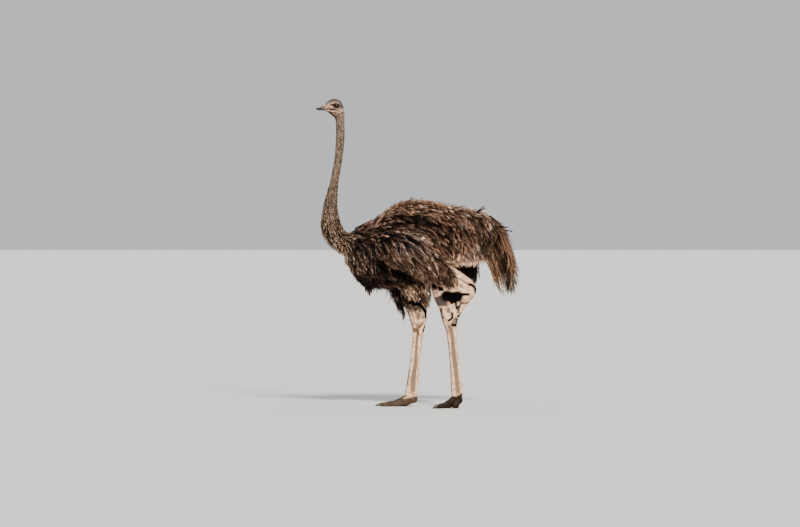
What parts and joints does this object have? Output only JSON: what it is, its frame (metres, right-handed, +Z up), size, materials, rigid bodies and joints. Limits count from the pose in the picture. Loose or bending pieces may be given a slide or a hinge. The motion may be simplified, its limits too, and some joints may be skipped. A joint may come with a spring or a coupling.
{
  "type": "ostrich hen, standing",
  "caption": "Life-size still ostrich hen standing with its neck upright: shaggy brown plumage, folded wings, drooping tail, downy neck, bare pale thighs and shanks, and clawed feet flat on the floor.",
  "frame": {"origin": "on the floor, under the middle of the bird's box", "axes": "+Z up, -X the way the bird looks, -Y its left side"},
  "size_m": [1.2513, 0.5702, 1.8955],
  "materials": {
    "plumage": "loose shaggy feathers, dark grey-brown with buff tips",
    "tail_plumes": "long drooping plumes, brown with pale frayed tips",
    "down": "short sparse grey-brown down over skin",
    "face_skin": "matt creased skin with short bristles",
    "horn": "satin grey horn, darker at the edge and tip",
    "eye": "wet, dark brown",
    "leg_hide": "matt wrinkled bare skin, pale pinkish grey",
    "leg_scales": "netted small scales, with a band of broad brown scutes in front",
    "foot_scales": "rough dark scales and scutes",
    "claw_horn": "worn dark horn"
  },
  "bodies": {
    "root": {"trunk": "plumage", "wing_left": "plumage", "wing_right": "plumage", "flank_left": "plumage", "flank_right": "plumage", "tail": "tail_plumes", "neck_base": "plumage", "neck_shaft": "down", "head": "face_skin", "bill_upper": "horn", "bill_lower": "horn", "eye_left": "eye", "eye_right": "eye", "drumstick_left": "leg_hide", "drumstick_right": "leg_hide", "shank_left": "leg_scales", "shank_right": "leg_scales", "toe_inner_left": "foot_scales", "toe_inner_right": "foot_scales", "toe_outer_left": "foot_scales", "toe_outer_right": "foot_scales", "claw_left": "claw_horn", "claw_right": "claw_horn"}
  },
  "joints": []
}
